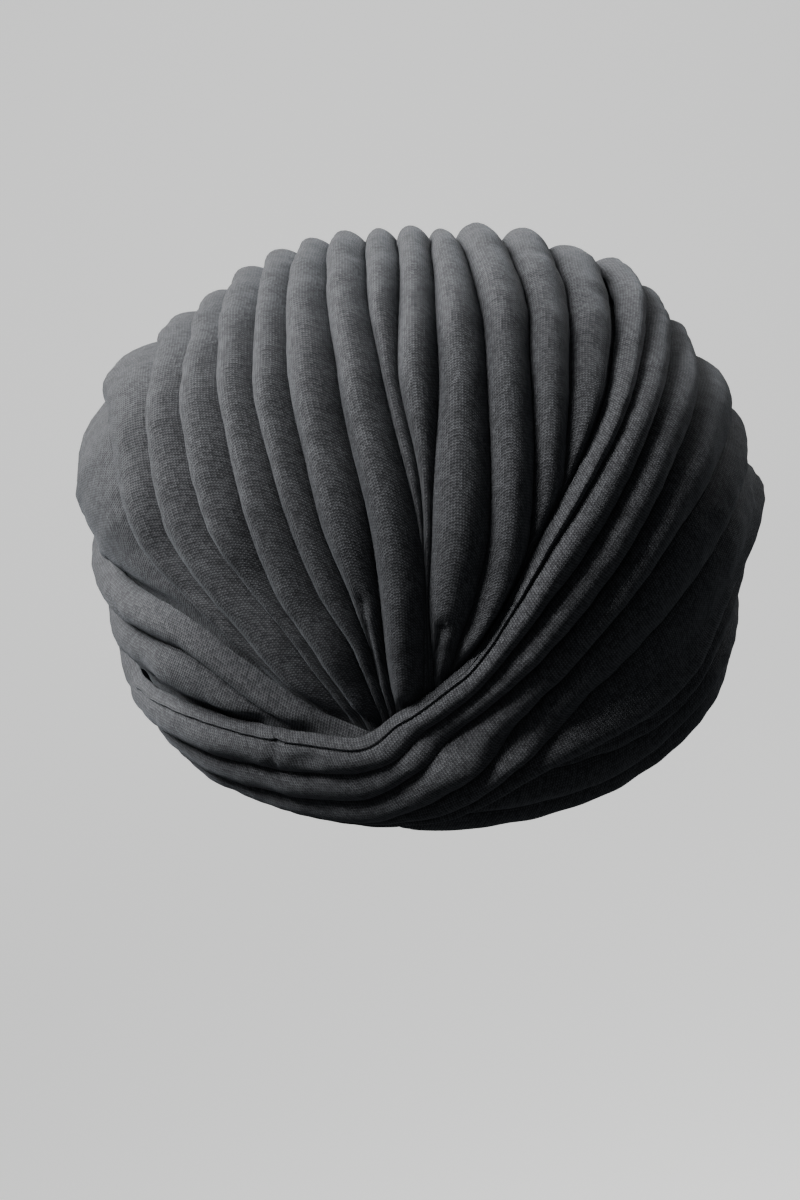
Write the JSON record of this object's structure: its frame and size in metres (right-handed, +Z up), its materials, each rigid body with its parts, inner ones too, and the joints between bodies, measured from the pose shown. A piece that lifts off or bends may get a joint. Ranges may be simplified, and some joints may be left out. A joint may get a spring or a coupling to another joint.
{
  "type": "turban headwrap",
  "caption": "Black knitted turban headwrap: a pleated crown gathered at the nape, with two rolled wraps that cross there and run round the rim, hollow and open below for the head.",
  "frame": {"origin": "the inside of the top of the hollow, where the top of a head carries the wrap", "axes": "+Z up out of the head, +Y towards the face, +X to the wearer's right"},
  "size_m": [0.2212, 0.2288, 0.1796],
  "materials": {
    "knit_crown": "matt black jersey knit with a soft grey bloom on the folds",
    "knit_under": "matt black jersey knit with a soft grey bloom on the folds",
    "knit_over": "matt black jersey knit with a soft grey bloom on the folds"
  },
  "bodies": {
    "root": {"crown": "knit_crown", "under_wrap": "knit_under", "over_wrap": "knit_over"}
  },
  "joints": []
}
